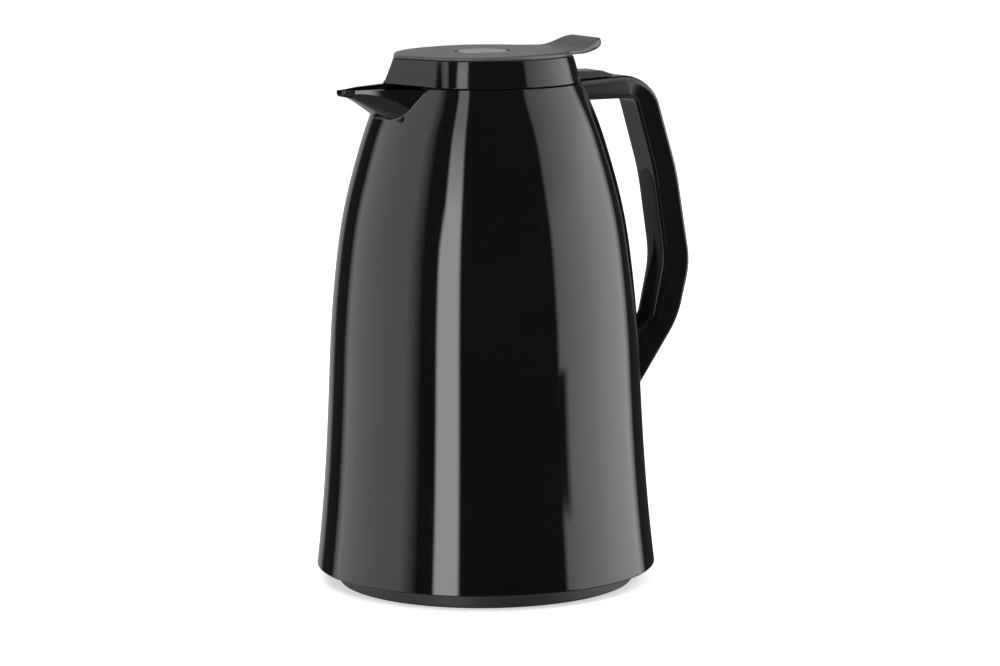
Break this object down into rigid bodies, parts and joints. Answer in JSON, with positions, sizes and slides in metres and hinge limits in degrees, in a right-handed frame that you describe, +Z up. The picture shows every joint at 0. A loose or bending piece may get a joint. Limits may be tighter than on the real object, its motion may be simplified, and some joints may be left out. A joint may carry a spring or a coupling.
{
  "type": "thermal carafe",
  "caption": "Glass-lined thermal carafe with a flared body, side handle, pouring beak and a hinged lid plate whose thumb tab lifts a pour valve.",
  "frame": {"origin": "middle of the foot ring's underside, on the surface the carafe stands on", "axes": "+Z up along the body's axis; +X towards the handle and -X towards the beak; +Y completes the right-handed frame"},
  "size_m": [0.1861, 0.1598, 0.2544],
  "materials": {
    "gloss_shell": "high gloss black",
    "gloss_collar": "high gloss black",
    "gloss_lid": "high gloss black",
    "satin_plate": "satin dark grey",
    "satin_handle": "satin black",
    "satin_button": "satin black",
    "soft_grip": "soft matte black",
    "matte_base": "matte black",
    "inner_plastic": "matte dark grey",
    "silicone": "soft grey",
    "liner_glass": "clear glass",
    "mirror_glass": "silvered glass",
    "pad": "pressed mineral felt",
    "badge_metal": "brushed",
    "steel": "bright"
  },
  "bodies": {
    "carafe": {"body_shell": "gloss_shell", "base_cap": "matte_base", "base_seal": "silicone", "liner_seat": "silicone", "outer_glass": "liner_glass", "inner_glass": "mirror_glass", "glass_pads": "pad", "neck_gasket": "silicone", "pouring_collar": "gloss_collar", "collar_nut": "matte_base", "handle_shell": "satin_handle", "handle_grip": "soft_grip", "handle_screws": "steel", "latch_spring": "steel"},
    "closure_head": {"lid_housing": "gloss_lid", "stopper_body": "inner_plastic", "stopper_seal": "silicone", "hinge_pin": "steel", "closure_screws": "steel", "guide_bush": "inner_plastic", "valve_spring": "steel"},
    "thumb_lever": {"lever_plate": "satin_plate", "badge": "badge_metal"},
    "pour_valve": {"valve_stem": "inner_plastic", "valve_disc": "inner_plastic", "valve_seal": "silicone", "cross_pin": "steel"},
    "release": {"release_button": "satin_button"}
  },
  "joints": [
    {"name": "button_slide", "type": "slide", "parent": "carafe", "child": "release", "axis": [1, 0, 0], "range_m": [0, 0.004], "stiffness_N_per_m": 400, "springref_m": -0.003, "deforming": ["latch_spring"]},
    {"name": "closure_lift", "type": "slide", "parent": "carafe", "child": "closure_head", "axis": [0, 0, 1], "range_m": [0, 0.075]},
    {"name": "lever_hinge", "type": "hinge", "parent": "closure_head", "child": "thumb_lever", "pos_m": [0.0355, 0, 0.2443], "axis": [0, 1, 0], "range_deg": [0, 10], "stiffness_Nm_per_rad": 0.4, "springref_deg": -20.05},
    {"name": "valve_rise", "type": "slide", "parent": "closure_head", "child": "pour_valve", "axis": [0, 0, 1], "range_m": [0, 0.00622], "deforming": ["valve_spring"]}
  ],
  "couplings": [
    {"joint": "valve_rise", "follows": "lever_hinge", "m_per_rad": 0.035615}
  ]
}
